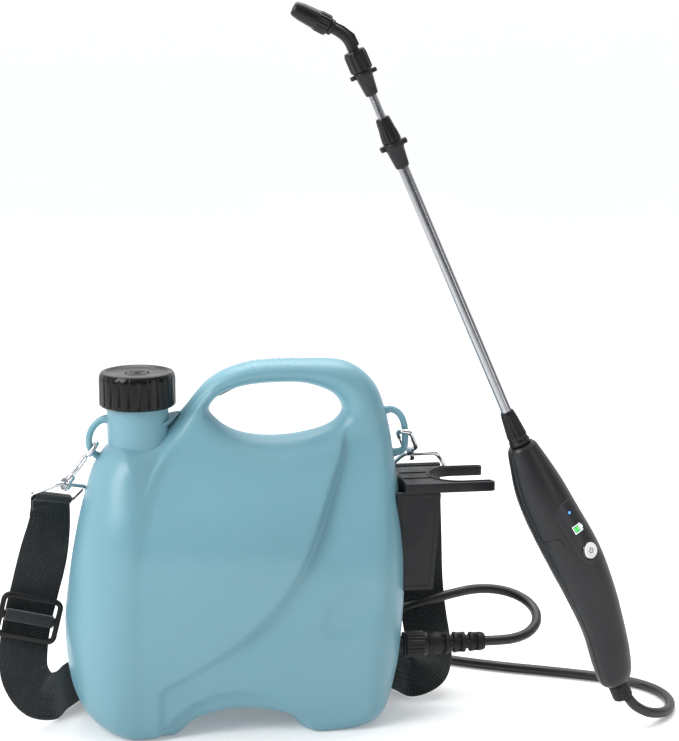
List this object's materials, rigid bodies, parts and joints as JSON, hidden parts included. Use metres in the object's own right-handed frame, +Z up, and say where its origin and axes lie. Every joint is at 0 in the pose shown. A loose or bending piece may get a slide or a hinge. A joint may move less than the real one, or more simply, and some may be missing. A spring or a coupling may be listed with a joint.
{
  "type": "backpack sprayer",
  "caption": "Shoulder-strap sprayer: blow-moulded tank with a hand window, screw cap and outlet, webbing strap, wand holder, and a telescopic pump wand on a hose.",
  "frame": {"origin": "on the floor plane the tank's feet stand on, below the centre of the bounding box of everything but the hose", "axes": "+Z up, +X towards the outlet and the wand holder, -Y out of the tank's broad front face that the wand leans before"},
  "size_m": [0.5401, 0.2936, 0.56],
  "materials": {
    "tank_plastic": "pale blue satin polyethylene",
    "cap_plastic": "gloss black",
    "black_plastic": "satin black",
    "black_rubber": "matt black",
    "hose_rubber": "smooth black",
    "webbing": "woven black",
    "chrome": "bright",
    "steel": "fine brushed",
    "grip": "soft-touch charcoal",
    "white_plastic": "gloss white",
    "display_green": "lit green",
    "circuit_board": "green lacquer",
    "cell_wrap": "blue wrap",
    "motor_case": "plated",
    "brass": "turned"
  },
  "bodies": {
    "tank_body": {"tank": "tank_plastic", "strap_lug_left": "tank_plastic", "strap_lug_right": "tank_plastic", "outlet_fitting": "black_plastic", "outlet_seal": "black_rubber", "inlet_strainer": "steel", "strain_relief": "black_rubber", "wand_holder": "black_plastic", "holder_screw_upper": "steel", "holder_screw_lower": "steel", "strap_webbing": "webbing", "strap_ring_left": "chrome", "strap_ring_right": "chrome", "snap_hook_left": "chrome", "snap_hook_right": "chrome", "hose_outlet_run": "hose_rubber", "hose_wand_run": "hose_rubber", "hose_coil": "hose_rubber"},
    "cap_seal": {"cap_gasket": "black_rubber"},
    "cap_body": {"cap": "cap_plastic", "vent_valve": "black_rubber"},
    "outlet_nut_body": {"outlet_nut": "black_plastic"},
    "gate_left": {"snap_gate_left": "chrome"},
    "gate_right": {"snap_gate_right": "chrome"},
    "adjuster_body": {"strap_adjuster": "black_plastic", "adjuster_loop": "webbing"},
    "handle": {"handle_shell_front": "grip", "handle_shell_back": "grip", "handle_screw_1": "steel", "handle_screw_2": "steel", "handle_screw_3": "steel", "control_panel": "black_plastic", "battery_display": "display_green", "status_led": "white_plastic", "button_switch": "steel", "circuit_board": "circuit_board", "battery_cell": "cell_wrap", "pump_motor": "motor_case", "pump_head": "black_plastic", "usb_socket": "steel", "hose_barb": "black_plastic", "tube_socket": "black_plastic", "outer_tube": "steel", "collar_body": "black_plastic", "collet": "black_rubber"},
    "foot_nut": {"hose_nut_handle": "black_plastic"},
    "button": {"power_button": "white_plastic"},
    "usb_flap": {"usb_cover": "black_rubber"},
    "lance_nut": {"tube_nut": "black_plastic"},
    "clamp_nut": {"collar_nut": "black_plastic"},
    "lance": {"inner_tube": "steel", "tube_connector": "black_plastic"},
    "elbow_nut": {"coupling_nut": "black_plastic"},
    "elbow_body": {"elbow": "black_plastic"},
    "tip_body": {"spray_tip": "black_plastic", "nozzle_core": "brass"}
  },
  "joints": [
    {"name": "cap_lift", "type": "slide", "parent": "tank_body", "child": "cap_seal", "axis": [0, 0, 1], "range_m": [0, 0.12]},
    {"name": "cap_turn", "type": "hinge", "parent": "cap_seal", "child": "cap_body", "pos_m": [-0.1308, 0.011, 0.265], "axis": [0, 0, 1], "range_deg": [0, 540]},
    {"name": "outlet_nut_turn", "type": "hinge", "parent": "tank_body", "child": "outlet_nut_body", "pos_m": [0.0847, -0.003, 0.055], "axis": [1, 0, 0], "range_deg": [0, 720]},
    {"name": "gate_left_open", "type": "hinge", "parent": "tank_body", "child": "gate_left", "pos_m": [-0.18109, 0.0076, 0.20099], "axis": [-0.7935, 0, 0.6086], "range_deg": [0, 25], "stiffness_Nm_per_rad": 0.05},
    {"name": "gate_right_open", "type": "hinge", "parent": "tank_body", "child": "gate_right", "pos_m": [0.08212, 0.02891, 0.20844], "axis": [0.233, 0.586, 0.7761], "range_deg": [0, 25], "stiffness_Nm_per_rad": 0.05},
    {"name": "strap_adjust", "type": "slide", "parent": "tank_body", "child": "adjuster_body", "axis": [0.251, 0.151, 0.9561], "range_m": [0, 0.012]},
    {"name": "wand_swivel", "type": "hinge", "parent": "tank_body", "child": "handle", "pos_m": [0.2359, -0.069, 0.03336], "axis": [-0.3987, 0, 0.9171], "range_deg": [-180, 180]},
    {"name": "hose_nut_turn", "type": "hinge", "parent": "handle", "child": "foot_nut", "pos_m": [0.2359, -0.069, 0.03336], "axis": [-0.3987, 0, 0.9171], "range_deg": [0, 720]},
    {"name": "power_press", "type": "slide", "parent": "handle", "child": "button", "axis": [-0.4585, 0.866, -0.1994], "range_m": [0, 0.0009], "stiffness_N_per_m": 1500},
    {"name": "usb_cover_open", "type": "hinge", "parent": "handle", "child": "usb_flap", "pos_m": [0.16922, -0.08235, 0.15375], "axis": [0.3987, 0, -0.9171], "range_deg": [0, 100]},
    {"name": "lance_nut_turn", "type": "hinge", "parent": "handle", "child": "lance_nut", "pos_m": [0.1531, -0.069, 0.2318], "axis": [-0.3987, 0, 0.9171], "range_deg": [0, 720]},
    {"name": "clamp_nut_turn", "type": "hinge", "parent": "handle", "child": "clamp_nut", "pos_m": [0.1531, -0.069, 0.2318], "axis": [-0.3987, 0, 0.9171], "range_deg": [0, 180]},
    {"name": "lance_slide", "type": "slide", "parent": "handle", "child": "lance", "axis": [-0.3987, 0, 0.9171], "range_m": [0, 0.16]},
    {"name": "elbow_nut_turn", "type": "hinge", "parent": "lance", "child": "elbow_nut", "pos_m": [0.1531, -0.069, 0.2318], "axis": [-0.3987, 0, 0.9171], "range_deg": [0, 720]},
    {"name": "elbow_aim", "type": "hinge", "parent": "lance", "child": "elbow_body", "pos_m": [0.1531, -0.069, 0.2318], "axis": [-0.3987, 0, 0.9171], "range_deg": [-180, 180]},
    {"name": "spray_tip_turn", "type": "hinge", "parent": "elbow_body", "child": "tip_body", "pos_m": [0.00759, -0.069, 0.54288], "axis": [-0.892, 0, 0.452], "range_deg": [0, 360]}
  ]
}
